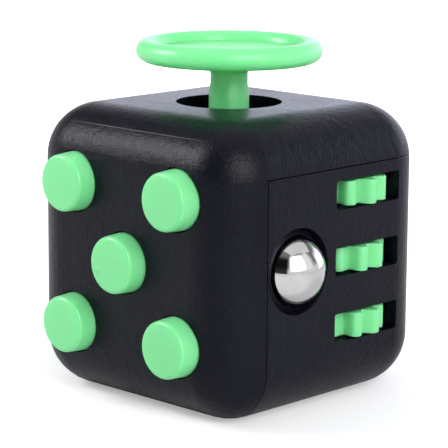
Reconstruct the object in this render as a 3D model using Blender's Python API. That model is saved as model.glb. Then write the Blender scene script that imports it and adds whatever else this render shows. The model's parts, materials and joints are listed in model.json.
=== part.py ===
"""Fidget cube: six faces of small controls held by two half shells.

The cube stands on the origin with +Z up. Its front (-Y) has five buttons, its right side (+X) three
thumb wheels and a steel ball, its top (+Z) a thumb stick, its left side (-X) a spin dial, its back
(+Y) a flip rocker and its underside (-Z) a shallow thumb dish. All sizes here are in millimetres.
"""

import math

import bmesh
import bpy
from mathutils import Matrix, Vector

MM = 0.001
WELD = 0.0005

# Case
SIDE = 33.0
HALF = SIDE / 2
CORNER = 6.3
WALL = 2.0
SEAM_FRONT = 5.6
SEAM_TOP = 5.8
GAP = 0.3
RUN = 0.06
TONGUE_SKIN = 1.0
TONGUE_LONG = 1.5
CENTRE_Z = 16.7
INSIDE = HALF - WALL

# Screws that hold the inner pieces
SCREW_R = 0.7
SCREW_HEAD_R = 1.4
SCREW_HEAD = 0.8
PILOT_R = 0.85
BOSS_R = 1.6

# Buttons
BUTTON_PITCH = 8.08
BUTTON_FRONT_R = 3.22
BUTTON_BASE_R = 3.36
BUTTON_PROUD = 2.22
BUTTON_HOLE_R = 3.52
BUTTON_FLANGE_R = 3.9
BUTTON_STEM_R = 1.5
BOARD_Y = -8.4
BOARD_THICK = 1.2
SWITCH_DEEP = 3.5
SWITCH_SIDE = 5.8

# Thumb stick
STICK_HOLE_R = 6.05
STICK_PIVOT_Z = 23.5
RIM_R = 9.33
RIM_TUBE = 1.25
RIM_Z = SIDE + 5.87
STEM_R = 2.13
DOME_R = 7.2
DOME_THICK = 0.7
TRUNNION_R = 0.6
HOUSING_R = 8.3
HOUSING_LOW_R = 6.8
HOUSING_STEP_Z = 24.0
POST_RADIUS = 10.2
POST_ANGLES = (180, 75, -75)

# Thumb wheels
WHEEL_R = 5.0
WHEEL_THICK = 2.75
WHEEL_PROUD = 1.0
WHEEL_Y = 5.35
WHEEL_PITCH = 7.5
WHEEL_LOBES = 10
LOBE_DEEP = 1.2
LOBE_SHAPE = 1.6
LOBE_TURNS = (34.5, 19.5, 12)
SLOT_LONG = 10.65
SLOT_HIGH = 3.3
AXLE_R = 1.0
WHEEL_X = HALF + WHEEL_PROUD - WHEEL_R

# Ball
BALL_R = 4.0
BALL_Y = -6.1
BALL_X = HALF - 1.35
BALL_HOLE_R = 4.77
BALL_LIP_R = 3.95
TUBE_IN_R = 4.65
TUBE_OUT_R = 5.35
CUP_R = 4.5

# Spin dial
DIAL_R = 8.6
DIAL_POCKET_R = 8.9
DIAL_POCKET = 0.9
DIAL_HUB_R = 2.0
NUB_RADIUS = 5.2
NUB_R = 1.35
NUB_PROUD = 2.2

# Flip rocker
ROCKER_Y = 14.0
ROCKER_HALF_LONG = 6.5
ROCKER_HALF_WIDE = 3.95
ROCKER_TILT = 10
ROCKER_FACE = HALF - ROCKER_Y
PIN_R = 0.75

# Thumb dish
DISH_R = 9.0
DISH_DEEP = 1.6
PAD_R = 8.2
PAD_TOP = 3.8

FINISHES = {
    "black_plastic": ((0.022, 0.021, 0.026), 0.34, 0.0),
    "green_plastic": ((0.22, 0.74, 0.34), 0.36, 0.0),
    "green_silicone": ((0.25, 0.72, 0.36), 0.55, 0.0),
    "natural_nylon": ((0.72, 0.70, 0.64), 0.5, 0.0),
    "circuit_board": ((0.02, 0.16, 0.06), 0.45, 0.0),
    "spring_steel": ((0.55, 0.56, 0.58), 0.3, 1.0),
    "chrome_ball": ((0.8, 0.8, 0.82), 0.06, 1.0),
}

AXIS_TURN = {
    "z": Matrix.Identity(4),
    "x": Matrix.Rotation(math.radians(90), 4, "Y"),
    "y": Matrix.Rotation(math.radians(-90), 4, "X"),
}


def clear_scene():
    for old in list(bpy.data.objects):
        bpy.data.objects.remove(old, do_unlink=True)


def finish_of(name, kind):
    colour, roughness, metallic = FINISHES[kind]
    material = bpy.data.materials.new(name + "_" + kind)
    material.use_nodes = True
    shader = material.node_tree.nodes["Principled BSDF"]
    shader.inputs["Base Color"].default_value = (*colour, 1)
    shader.inputs["Roughness"].default_value = roughness
    shader.inputs["Metallic"].default_value = metallic
    return material


def solid(name, bm):
    """An object from a bmesh. It stays in millimetres until its piece is done."""
    bmesh.ops.recalc_face_normals(bm, faces=bm.faces[:])
    if bm.calc_volume(signed=True) < 0:
        bmesh.ops.reverse_faces(bm, faces=bm.faces[:])
    mesh = bpy.data.meshes.new(name)
    bm.to_mesh(mesh)
    bm.free()
    thing = bpy.data.objects.new(name, mesh)
    bpy.context.scene.collection.objects.link(thing)
    return thing


def rounded_cube(name, inset):
    """The case's outside, moved in by inset on every side."""
    bm = bmesh.new()
    bmesh.ops.create_cube(bm, size=SIDE - 2 * inset, matrix=Matrix.Translation((0, 0, HALF)))
    bmesh.ops.bevel(
        bm, geom=bm.edges[:], offset=CORNER - inset, segments=4, profile=0.5, affect="EDGES"
    )
    return solid(name, bm)


def box(name, low, high, round_by=0.0, along="z"):
    """A block between two corners, with its four edges along one axis rounded."""
    bm = bmesh.new()
    low, high = Vector(low), Vector(high)
    place = Matrix.Translation((low + high) / 2) @ Matrix.Diagonal((*(high - low), 1))
    bmesh.ops.create_cube(bm, size=1, matrix=place)
    if round_by:
        axis = "xyz".index(along)
        edges = [e for e in bm.edges if abs((e.verts[0].co - e.verts[1].co)[axis]) > 1e-6]
        bmesh.ops.bevel(bm, geom=edges, offset=round_by, segments=3, profile=0.5, affect="EDGES")
    return solid(name, bm)


def turned(name, outline, axis="z", centre=(0, 0, 0), steps=24):
    """Spins (radius, height) points round an axis. The outline runs from axis to axis, or closes."""
    bm = bmesh.new()
    place = Matrix.Translation(centre) @ AXIS_TURN[axis]
    points = [bm.verts.new((radius, 0, height)) for radius, height in outline]
    edges = [bm.edges.new(pair) for pair in zip(points, points[1:])]
    if outline[0][0] > 1e-6:
        edges.append(bm.edges.new((points[-1], points[0])))
    bmesh.ops.spin(
        bm, geom=points + edges, axis=(0, 0, 1), cent=(0, 0, 0), angle=2 * math.pi, steps=steps,
        use_merge=True,
    )
    bmesh.ops.remove_doubles(bm, verts=bm.verts[:], dist=1e-4)
    bmesh.ops.transform(bm, matrix=place, verts=bm.verts[:])
    return solid(name, bm)


def rod(name, radius, start, end, axis="z", centre=(0, 0), steps=20):
    """A cylinder along an axis between two heights; centre holds the other two coordinates."""
    at = list(centre)
    at.insert("xyz".index(axis), 0)
    return turned(name, [(0, start), (radius, start), (radius, end), (0, end)], axis, at, steps)


def tube(name, inner, outer, start, end, axis="z", centre=(0, 0), steps=24):
    at = list(centre)
    at.insert("xyz".index(axis), 0)
    ring = [(inner, start), (outer, start), (outer, end), (inner, end)]
    return turned(name, ring, axis, at, steps)


def plate(name, outline, axis, start, end):
    """A flat outline in the other two coordinates, pushed out along an axis."""
    bm = bmesh.new()
    where = "xyz".index(axis)
    corners = []
    for pair in outline:
        point = list(pair)
        point.insert(where, start)
        corners.append(bm.verts.new(point))
    face = bm.faces.new(corners)
    push = bmesh.ops.extrude_face_region(bm, geom=[face])
    step = [0, 0, 0]
    step[where] = end - start
    moved = [v for v in push["geom"] if isinstance(v, bmesh.types.BMVert)]
    bmesh.ops.translate(bm, vec=step, verts=moved)
    return solid(name, bm)


def combine(target, tool, operation="DIFFERENCE"):
    """Cuts, joins or trims target with tool, and removes tool."""
    modifier = target.modifiers.new(operation.lower(), "BOOLEAN")
    modifier.operation = operation
    modifier.solver = "EXACT"
    modifier.object = tool
    bpy.context.view_layer.update()
    graph = bpy.context.evaluated_depsgraph_get()
    result = bpy.data.meshes.new_from_object(target.evaluated_get(graph))
    target.modifiers.clear()
    bm = bmesh.new()
    bm.from_mesh(result)
    bmesh.ops.triangulate(bm, faces=bm.faces[:])
    bmesh.ops.remove_doubles(bm, verts=bm.verts[:], dist=WELD)
    bmesh.ops.dissolve_degenerate(bm, edges=bm.edges[:], dist=WELD)
    bm.to_mesh(result)
    bm.free()
    target.data = result
    bpy.data.objects.remove(tool, do_unlink=True)
    return target


def join(target, *tools):
    for tool in tools:
        combine(target, tool, "UNION")
    return target


def cut(target, *tools):
    for tool in tools:
        combine(target, tool)
    return target


def done(thing, kind, smooth=True):
    """Brings a finished piece to metres and gives it its material."""
    thing.data.transform(Matrix.Scale(MM, 4))
    thing.data.materials.clear()
    thing.data.materials.append(finish_of(thing.name, kind))
    if smooth:
        thing.data.shade_smooth()
        thing.data.set_sharp_from_angle(angle=math.radians(35))
    return thing


def hung_on(name, point, *pieces):
    """An empty on a joint's axis that carries the pieces which move with it."""
    pivot = bpy.data.objects.new(name, None)
    pivot.location = Vector(point) * MM
    bpy.context.scene.collection.objects.link(pivot)
    bpy.context.view_layer.update()
    for piece in pieces:
        piece.parent = pivot
        piece.matrix_parent_inverse = pivot.matrix_world.inverted()
    return pivot


def screw(name, axis, centre, head_at, tip_at):
    """A pan-head screw: head_at is the seat under the head, tip_at the end of the thread."""
    way = 1 if tip_at > head_at else -1
    at = list(centre)
    at.insert("xyz".index(axis), 0)
    outline = [
        (0, head_at - way * SCREW_HEAD),
        (SCREW_HEAD_R * 0.8, head_at - way * SCREW_HEAD),
        (SCREW_HEAD_R, head_at - way * SCREW_HEAD * 0.6),
        (SCREW_HEAD_R, head_at),
        (SCREW_R, head_at),
        (SCREW_R, tip_at - way * 0.4),
        (0, tip_at),
    ]
    return done(turned(name, outline, axis, at, 10), "spring_steel")


def seam_box(name, grow):
    """The corner block that holds the rear shell, grown or shrunk past the seam."""
    low = -HALF + SEAM_FRONT - grow
    return box(name, (low, low, -10), (30, 30, SIDE - SEAM_TOP + grow))


def button_places():
    step = BUTTON_PITCH
    return {
        "centre": (0.0, CENTRE_Z),
        "top_left": (-step, CENTRE_Z + step),
        "top_right": (step, CENTRE_Z + step),
        "bottom_left": (-step, CENTRE_Z - step),
        "bottom_right": (step, CENTRE_Z - step),
    }


BOARD_SCREWS = ((-BUTTON_PITCH, CENTRE_Z), (0.0, CENTRE_Z - BUTTON_PITCH))
CLICKING = ("centre", "top_left", "bottom_right")
BRACKET_SCREWS = ((9.2, CENTRE_Z - WHEEL_PITCH / 2), (9.2, CENTRE_Z + WHEEL_PITCH / 2))
ROCKER_SCREWS = ((0.0, CENTRE_Z - 9.4), (0.0, CENTRE_Z + 9.4))


def post_places():
    for angle in POST_ANGLES:
        turn = math.radians(angle)
        yield POST_RADIUS * math.cos(turn), POST_RADIUS * math.sin(turn)


def make_front_shell():
    """The top, front and left faces in one moulding, with a tongue behind its seam."""
    shell = rounded_cube("front_shell", 0)
    cut(shell, rounded_cube("hollow", WALL))
    outside = seam_box("outside", GAP)
    cut(outside, rounded_cube("tongue_skin", TONGUE_SKIN + GAP))
    cut(shell, outside, seam_box("tongue_end", -TONGUE_LONG))
    for x, z in button_places().values():
        cut(shell, rod("hole", BUTTON_HOLE_R, -HALF - 2, -INSIDE + 3, "y", (x, z), 24))
    cut(shell, rod("hole", STICK_HOLE_R, INSIDE + HALF - 2, SIDE + 2, "z", (0, 0), 36))
    join(shell, rod("boss", 3.6, -HALF + 1.2, -INSIDE + 1.1, "x", (0, CENTRE_Z)))
    cut(shell, rod("pocket", DIAL_POCKET_R, -HALF - 2, -HALF + DIAL_POCKET, "x", (0, CENTRE_Z), 36))
    cut(shell, rod("hole", DIAL_HUB_R + RUN, -HALF - 2, -INSIDE + 4, "x", (0, CENTRE_Z)))
    for x, z in BOARD_SCREWS:
        join(shell, rod("boss", BOSS_R, -HALF + 1.2, BOARD_Y - GAP, "y", (x, z), 12))
        cut(shell, rod("pilot", PILOT_R, -12.5, BOARD_Y + 1, "y", (x, z), 12))
    for x, y in post_places():
        join(shell, rod("boss", 1.7, 27, SIDE - 1.2, "z", (x, y), 12))
        cut(shell, rod("pilot", PILOT_R, 26, 30.5, "z", (x, y), 12))
    cut(shell, rod("ball_room", TUBE_OUT_R + GAP, 6, INSIDE + 0.9, "x", (BALL_Y, CENTRE_Z), 24))
    cut(shell, rod("ball_edge", BALL_HOLE_R + 0.1, 14, HALF + 2, "x", (BALL_Y, CENTRE_Z), 32))
    cut(shell, rod("screw_room", 1.7, 13, INSIDE + 1.2, "y", ROCKER_SCREWS[1], 16))
    return done(shell, "black_plastic")


def make_rear_shell():
    """The right, back and bottom faces in one moulding."""
    shell = rounded_cube("rear_shell", 0)
    cut(shell, rounded_cube("hollow", WALL))
    combine(shell, seam_box("keep", 0), "INTERSECT")
    groove = rounded_cube("groove", TONGUE_SKIN)
    cut(groove, seam_box("groove_end", -TONGUE_LONG - GAP))
    cut(shell, groove)
    join(shell, rod("pad", PAD_R, WALL / 2, PAD_TOP, "z", (0, 0), 32))
    sphere_r = (DISH_R**2 + DISH_DEEP**2) / (2 * DISH_DEEP)
    rim = math.asin(DISH_R / sphere_r)
    arc = [
        (sphere_r * math.sin(rim * i / 6), DISH_DEEP - sphere_r + sphere_r * math.cos(rim * i / 6))
        for i in range(7)
    ]
    cut(shell, turned("dish", [*arc, (DISH_R, -3), (0, -3)], steps=32))
    for row in (-1, 0, 1):
        low_z = CENTRE_Z + row * WHEEL_PITCH - SLOT_HIGH / 2
        low = (INSIDE - 3, WHEEL_Y - SLOT_LONG / 2, low_z)
        cut(shell, box("slot", low, (HALF + 2, WHEEL_Y + SLOT_LONG / 2, low_z + SLOT_HIGH)))
    join(shell, rod("tube", TUBE_OUT_R, BALL_X - 6.65, INSIDE + 0.6, "x", (BALL_Y, CENTRE_Z), 32))
    bore = [
        (0, 6), (TUBE_IN_R, 6), (TUBE_IN_R, BALL_X - 0.15), (BALL_LIP_R, BALL_X + 0.8),
        (BALL_LIP_R, BALL_X + 0.93), (BALL_HOLE_R, BALL_X + 0.2), (BALL_HOLE_R, HALF + 2),
        (0, HALF + 2),
    ]
    cut(shell, turned("bore", bore, "x", (0, BALL_Y, CENTRE_Z), 32))
    opening = ((-5.2, INSIDE - 3, CENTRE_Z - 8.3), (5.2, HALF + 2, CENTRE_Z + 8.3))
    cut(shell, box("opening", *opening, round_by=1.2, along="y"))
    for x, z in ROCKER_SCREWS:
        cut(shell, rod("pilot", PILOT_R, 13, 15.9, "y", (x, z), 12))
    for x, z in BRACKET_SCREWS:
        join(shell, rod("boss", BOSS_R, 12.5, INSIDE + 0.8, "y", (x, z), 16))
        cut(shell, rod("pilot", PILOT_R, 11, 15.5, "y", (x, z), 12))
    return done(shell, "black_plastic")


def make_button(place, x, z):
    front = -HALF - BUTTON_PROUD
    outline = [
        (0, front),
        (BUTTON_FRONT_R - 0.5, front),
        (BUTTON_FRONT_R - 0.14, front + 0.15),
        (BUTTON_FRONT_R, front + 0.5),
        (BUTTON_BASE_R, -HALF),
        (BUTTON_BASE_R, -13.7),
        (BUTTON_FLANGE_R, -13.7),
        (BUTTON_FLANGE_R, -12.9),
        (BUTTON_STEM_R, -12.9),
        (BUTTON_STEM_R, -12.3),
        (0, -12.3),
    ]
    return done(turned("button_" + place, outline, "y", (x, 0, z), 20), "green_plastic")


def make_switch(place, x, z):
    front = BOARD_Y - GAP / 2 - SWITCH_DEEP
    half = SWITCH_SIDE / 2
    low = (x - half, front, z - half)
    body = box("click_switch_" + place, low, (x + half, BOARD_Y - GAP / 2, z + half), 0.5, "y")
    cut(body, rod("bore", 1.6, front - 1, front + 2.3, "y", (x, z)))
    done(body, "black_plastic")
    plunger = rod("switch_plunger_" + place, BUTTON_STEM_R, front - 0.15, front + 1.2, "y", (x, z))
    return done(plunger, "natural_nylon")


def make_silent_pad(place, x, z):
    """A soft dome that returns a button without a click."""
    outline = [
        (0, -12.05), (1.2, -12.05), (1.5, -11.6), (2.0, -9.6), (2.6, -9.2), (2.6, -8.7),
        (1.9, -8.7), (1.2, -10.9), (0, -10.9),
    ]
    return done(turned("silent_pad_" + place, outline, "y", (x, 0, z), 16), "green_silicone")


def make_buttons():
    for place, (x, z) in button_places().items():
        pieces = [make_button(place, x, z)]
        if place in CLICKING:
            pieces.append(make_switch(place, x, z))
        else:
            make_silent_pad(place, x, z)
        hung_on("press_" + place, (x, -HALF, z), *pieces)


def make_switch_board():
    low, high = (-12.0, 4.75), (12.0, 28.65)
    ball_low, ball_high = CENTRE_Z - 5.8, CENTRE_Z + 5.8
    outline = [
        low, (high[0], low[1]), (high[0], ball_low), (6.4, ball_low), (6.4, ball_high),
        (high[0], ball_high), high, (5.0, high[1]), (5.0, 22.6), (-5.0, 22.6), (-5.0, high[1]),
        (low[0], high[1]),
    ]
    board = plate("switch_board", outline, "y", BOARD_Y, BOARD_Y + BOARD_THICK)
    for x, z in BOARD_SCREWS:
        cut(board, rod("hole", PILOT_R, BOARD_Y - 1, BOARD_Y + 3, "y", (x, z), 12))
    done(board, "circuit_board", smooth=False)
    for number, place in enumerate(BOARD_SCREWS, 1):
        seat = BOARD_Y + BOARD_THICK + 0.1
        screw(f"board_screw_{number}", "y", place, seat, seat - 4.6)


def make_stick():
    """The cap and stem, in one moulding: a round rim, a shallow dish and a low cone below."""
    rim = [
        (RIM_R + RIM_TUBE * math.cos(turn), RIM_Z + RIM_TUBE * math.sin(turn))
        for turn in (math.radians(168 - 32 * i) for i in range(10))
    ]
    dish = [(0, RIM_Z - 0.05), (4.0, RIM_Z + 0.03)]
    under = [
        (7.0, RIM_Z - 1.2), (5.5, RIM_Z - 1.45), (4.2, RIM_Z - 1.7), (3.2, RIM_Z - 1.9),
        (2.55, RIM_Z - 2.05), (2.22, RIM_Z - 2.35),
    ]
    stem = [
        (STEM_R, RIM_Z - 2.7), (STEM_R, 35.0), (STEM_R + 0.17, 34.4), (STEM_R + 0.17, 31.0),
        (1.4, 31.0), (1.4, 24.6),
    ]
    cap = turned("joystick_cap", [*dish, *rim, *under, *stem, (0, 24.6)], steps=32)
    cut(cap, rod("pilot", PILOT_R, 23, 28.5, steps=12))
    return done(cap, "green_plastic")


def make_dome():
    """The dust dome that closes the hole under the stick, with its hub and two trunnions."""
    edge = math.radians(62)
    inner = DOME_R - DOME_THICK
    outline = [(1.5, STICK_PIVOT_Z + DOME_R)]
    outline += [
        (DOME_R * math.sin(turn), STICK_PIVOT_Z + DOME_R * math.cos(turn))
        for turn in (math.radians(15 + 47 * i / 4) for i in range(5))
    ]
    outline += [
        (inner * math.sin(turn), STICK_PIVOT_Z + inner * math.cos(turn))
        for turn in (edge - math.radians(40 * i / 3) for i in range(4))
    ]
    outline[0] = (1.5, outline[1][1])
    outline += [(2.35, outline[-1][1]), (2.35, 22.3), (1.5, 22.3)]
    dome = turned("joystick_dome", outline)
    for side in (-1, 1):
        ends = sorted((side * 1.9, side * 3.9))
        join(dome, rod("trunnion", TRUNNION_R, *ends, "y", (0, STICK_PIVOT_Z), 12))
    return done(dome, "black_plastic")


def make_gimbal_ring():
    """The ring between the stick and its housing, which gives the stick its second tilt."""
    low, high = STICK_PIVOT_Z - 0.9, STICK_PIVOT_Z + 0.9
    ring = tube("gimbal_ring", 3.0, 4.4, low, high, steps=20)
    for side in (-1, 1):
        ends = sorted((side * 4.0, side * 5.75))
        join(ring, rod("trunnion", TRUNNION_R, *ends, "x", (0, STICK_PIVOT_Z), 12))
    hole = TRUNNION_R + RUN
    cut(ring, rod("hole", hole, -6, 6, "y", (0, STICK_PIVOT_Z), 12))
    return done(ring, "natural_nylon")


def make_housing():
    """The cup that hangs from the top wall and carries the stick's bearings and spring."""
    floor = 18.5
    outline = [
        (0, floor), (HOUSING_LOW_R, floor), (HOUSING_LOW_R, HOUSING_STEP_Z - 0.6),
        (HOUSING_R, HOUSING_STEP_Z), (HOUSING_R, 30.6), (HOUSING_R - 0.8, 30.6),
        (HOUSING_R - 0.8, HOUSING_STEP_Z + 0.6), (HOUSING_LOW_R - 0.8, HOUSING_STEP_Z),
        (HOUSING_LOW_R - 0.8, floor + 0.9), (0, floor + 0.9),
    ]
    housing = turned("joystick_housing", outline, steps=24)
    for side in (-1, 1):
        near, far = sorted((side * 4.75, side * 5.8))
        join(housing, box("ear", (near, -1.5, floor + 0.4), (far, 1.5, STICK_PIVOT_Z + 1.3)))
    for x, y in post_places():
        tab = rod("tab", 1.7, 25.7, 26.7, "z", (x, y), 12)
        way = Vector((x, y)).normalized()
        side = Vector((-way.y, way.x)) * 1.2
        inner, outer = way * 7.9, way * 9.9
        web = [inner + side, outer + side, outer - side, inner - side]
        join(tab, plate("web", [tuple(p) for p in web], "z", 25.75, 26.65))
        join(housing, tab)
        cut(housing, rod("hole", PILOT_R, 24, 28, "z", (x, y), 12))
    hole = TRUNNION_R + RUN
    for side in (-1, 1):
        ends = sorted((side * 4.6, side * 5.9))
        cut(housing, rod("bearing", hole, *ends, "x", (0, STICK_PIVOT_Z), 12))
    return done(housing, "black_plastic")


def make_coil(name, radius, wire, low, high, turns):
    """A round-wire coil spring about the stick's rest line."""
    bm = bmesh.new()
    around, steps = 5, turns * 10
    rings = []
    for i in range(steps + 1):
        turn = 2 * math.pi * turns * i / steps
        height = low + wire + (high - low - 2 * wire) * i / steps
        ring = []
        for j in range(around):
            lean = 2 * math.pi * j / around
            out = radius + wire * math.cos(lean)
            point = (out * math.cos(turn), out * math.sin(turn), height + wire * math.sin(lean))
            ring.append(bm.verts.new(point))
        rings.append(ring)
    for first, second in zip(rings, rings[1:]):
        for j in range(around):
            k = (j + 1) % around
            bm.faces.new((first[j], first[k], second[k], second[j]))
    bm.faces.new(rings[0][::-1])
    bm.faces.new(rings[-1])
    return done(solid(name, bm), "spring_steel")


def make_joystick():
    cap, dome = make_stick(), make_dome()
    holder = screw("joystick_screw", "z", (0, 0), 22.2, 27.8)
    ring = make_gimbal_ring()
    make_housing()
    make_coil("joystick_spring", 2.0, 0.22, 19.55, 22.15, 4)
    for number, place in enumerate(post_places(), 1):
        screw(f"housing_screw_{number}", "z", place, 25.6, 29.8)
    side_tilt = hung_on("tilt_about_y", (0, 0, STICK_PIVOT_Z), cap, dome, holder)
    fore_tilt = hung_on("tilt_about_x", (0, 0, STICK_PIVOT_Z), ring)
    side_tilt.parent = fore_tilt
    side_tilt.matrix_parent_inverse = fore_tilt.matrix_world.inverted()


def lobed_outline(turn):
    """Broad round lobes with smooth valleys between them."""
    points = []
    steps = WHEEL_LOBES * 10
    for i in range(steps):
        wave = (1 - math.cos(2 * math.pi * i / 10)) / 2
        radius = WHEEL_R - LOBE_DEEP * wave**LOBE_SHAPE
        lean = math.radians(turn) + 2 * math.pi * i / steps
        points.append((radius * math.cos(lean), radius * math.sin(lean)))
    return points


def make_wheels():
    centre = (WHEEL_X, WHEEL_Y)
    for row, (place, turn) in enumerate(zip(("top", "middle", "bottom"), LOBE_TURNS)):
        z = CENTRE_Z + (1 - row) * WHEEL_PITCH
        low, high = z - WHEEL_THICK / 2, z + WHEEL_THICK / 2
        outline = [(centre[0] + x, centre[1] + y) for x, y in lobed_outline(turn)]
        wheel = plate("thumb_wheel_" + place, outline, "z", low, high)
        cut(wheel, rod("bore", AXLE_R + RUN, low - 1, high + 1, "z", centre))
        done(wheel, "green_plastic")
        hung_on("spin_" + place, (*centre, z), wheel)
    done(rod("wheel_axle", AXLE_R, 5.5, 27.9, "z", centre), "spring_steel")


def make_wheel_bracket():
    """A side plate behind the wheels with two ears that hold their axle."""
    low_ear, high_ear = (5.9, 7.3), (26.0, 27.4)
    bracket = box("wheel_bracket", (7.6, 11.0, low_ear[0]), (13.3, 12.2, high_ear[1]))
    for low, high in (low_ear, high_ear):
        arm = box("arm", (10.9, WHEEL_Y - 1.8, low), (13.8, 11.6, high))
        join(bracket, arm)
    cut(bracket, rod("bore", AXLE_R + RUN, 4, 30, "z", (WHEEL_X, WHEEL_Y)))
    for number, (x, z) in enumerate(BRACKET_SCREWS, 1):
        cut(bracket, rod("hole", PILOT_R, 10, 13, "y", (x, z), 12))
        screw(f"bracket_screw_{number}", "y", (x, z), 10.9, 15.3)
    done(bracket, "natural_nylon", smooth=False)


def make_wheel_spring():
    """A comb of sprung fingers that rub the wheels and make them click."""
    outline = [(11.8, 7.6), (9.4, 7.6)]
    for row in (-1, 0, 1):
        z = CENTRE_Z + row * WHEEL_PITCH
        outline += [(9.4, z - 1.1), (4.9, z - 1.1), (4.9, z + 1.1), (9.4, z + 1.1)]
    outline += [(9.4, 25.8), (11.8, 25.8)]
    done(plate("wheel_click_spring", outline, "x", 7.02, 7.27), "spring_steel", smooth=False)


def make_ball():
    """The steel ball, turned about the upright line that it rolls round."""
    arc = [
        (BALL_R * math.sin(math.pi * i / 12), BALL_R * math.cos(math.pi * i / 12))
        for i in range(13)
    ]
    arc[0], arc[-1] = (0, BALL_R), (0, -BALL_R)
    centre = (BALL_X, BALL_Y, CENTRE_Z)
    ball = done(turned("roller_ball", arc, "z", centre, 24), "chrome_ball")

    seat_r = BALL_R + 0.15
    back = BALL_X - seat_r - 0.55
    seat = [
        (seat_r * math.sin(turn), BALL_X - seat_r * math.cos(turn))
        for turn in (math.radians(88 * i / 6) for i in range(7))
    ]
    cup_outline = [*seat, (CUP_R, seat[-1][1]), (CUP_R, back), (0, back)]
    cup = done(turned("ball_cup", cup_outline, "x", (0, BALL_Y, CENTRE_Z), 24), "natural_nylon")

    at = (BALL_Y, CENTRE_Z)
    plunger = rod("ball_switch_plunger", 1.2, back - 0.85, back - 0.15, "x", at, 16)
    done(plunger, "natural_nylon")
    front = back - 0.75
    switch = rod("ball_switch", 3.1, front - 1.2, front, "x", at)
    cut(switch, rod("bore", 1.3, front - 0.9, front + 1, "x", at, 16))
    done(switch, "black_plastic")

    rest = front - 1.2 - GAP / 2
    plug = [
        (0, rest - 0.8), (TUBE_OUT_R, rest - 0.8), (TUBE_OUT_R, rest), (TUBE_IN_R - 0.1, rest),
        (TUBE_IN_R - 0.1, rest + 1.1), (3.3, rest + 1.1), (3.3, rest), (0, rest),
    ]
    done(turned("ball_plug", plug, "x", (0, *at), 24), "black_plastic")

    press = hung_on("ball_press", centre, cup, plunger)
    roll = hung_on("ball_roll", centre, ball)
    roll.parent = press
    roll.matrix_parent_inverse = press.matrix_world.inverted()


def make_dial():
    """The spin dial: a flat disc with a finger nub, on a hub through the left wall."""
    face = -HALF - 0.9
    outline = [
        (0, face + 0.25), (5.6, face + 0.25), (6.6, face), (DIAL_R - 0.4, face),
        (DIAL_R, face + 0.4), (DIAL_R, -HALF + DIAL_POCKET - GAP), (DIAL_HUB_R, -HALF + 0.6),
        (DIAL_HUB_R, -13.2), (0, -13.2),
    ]
    dial = turned("spin_dial", outline, "x", (0, 0, CENTRE_Z), 36)
    tip = -HALF - NUB_PROUD
    nub = [(0, tip), (NUB_R - 0.4, tip), (NUB_R, tip + 0.4), (NUB_R, face + 0.6), (0, face + 0.6)]
    join(dial, turned("nub", nub, "x", (0, 0, CENTRE_Z + NUB_RADIUS), 20))
    cut(dial, rod("pilot", PILOT_R, -16.2, -12, "x", (0, CENTRE_Z), 12))
    done(dial, "green_plastic")
    washer = tube("dial_washer", 0.9, 3.2, -12.9, -12.4, "x", (0, CENTRE_Z))
    done(washer, "spring_steel")
    holder = screw("dial_screw", "x", (0, CENTRE_Z), -12.3, -15.9)
    hung_on("dial_spin", (-HALF, 0, CENTRE_Z), dial, washer, holder)


def make_rocker():
    """The flip rocker, its pin, its housing and the leaf that snaps it over."""
    rise = ROCKER_HALF_LONG * math.tan(math.radians(ROCKER_TILT))
    belly = [
        (2.9 * math.cos(turn), 2.9 * math.sin(turn))
        for turn in (math.radians(-30 - 30 * i) for i in range(5))
    ]
    end = ROCKER_HALF_LONG
    profile = [
        (0, ROCKER_FACE), (-end, ROCKER_FACE + rise), (-end + 0.2, 1.0), *belly[::-1],
        (end - 0.2, 1.0), (end, ROCKER_FACE + rise),
    ]
    lean = math.radians(ROCKER_TILT)
    outline = []
    for along, out in profile:
        height = along * math.cos(lean) - out * math.sin(lean)
        depth = out * math.cos(lean) + along * math.sin(lean)
        outline.append((ROCKER_Y + depth, CENTRE_Z + height))
    rocker = plate("flip_rocker", outline, "x", -ROCKER_HALF_WIDE, ROCKER_HALF_WIDE)
    axis = (ROCKER_Y, CENTRE_Z)
    cut(rocker, rod("bore", PIN_R + RUN, -6, 6, "x", axis, 20))
    done(rocker, "green_plastic")
    hung_on("rocker_flip", (0, *axis), rocker)
    done(rod("rocker_pin", PIN_R, -4.95, 4.95, "x", axis, 20), "spring_steel")

    low, high = CENTRE_Z - 8.0, CENTRE_Z + 8.0
    housing = box("rocker_housing", (-4.95, 9.6, low), (4.95, HALF + 0.25, high), 1.0, "y")
    flange = box("flange", (-6.2, 13.0, CENTRE_Z - 10.7), (6.2, 14.2, CENTRE_Z + 10.7), 1.5, "y")
    join(housing, flange)
    cut(housing, box("room", (-4.2, 10.4, low + 0.75), (4.2, HALF + 2, high - 0.75), 0.5, "y"))
    cut(housing, rod("hole", PIN_R + 0.05, -8, 8, "x", axis, 20))
    for number, (x, z) in enumerate(ROCKER_SCREWS, 1):
        cut(housing, rod("hole", PILOT_R, 12, 15, "y", (x, z), 12))
        screw(f"rocker_screw_{number}", "y", (x, z), 12.9, 15.6)
    done(housing, "black_plastic", smooth=False)

    thick = 0.2
    top = [(10.75, -6.6), (10.75, -2.2), (10.95, 0), (10.75, 2.2), (10.75, 6.6)]
    leaf = [(y, CENTRE_Z + z) for y, z in top]
    leaf += [(y - thick, CENTRE_Z + z) for y, z in reversed(top)]
    done(plate("rocker_leaf_spring", leaf, "x", -1.4, 1.4), "spring_steel", smooth=False)


def main():
    clear_scene()
    make_front_shell()
    make_rear_shell()
    make_buttons()
    make_switch_board()
    make_joystick()
    make_wheels()
    make_wheel_bracket()
    make_wheel_spring()
    make_ball()
    make_dial()
    make_rocker()


main()
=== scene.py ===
import json
import math

import bmesh
import bpy
from mathutils import Matrix, Vector


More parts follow.
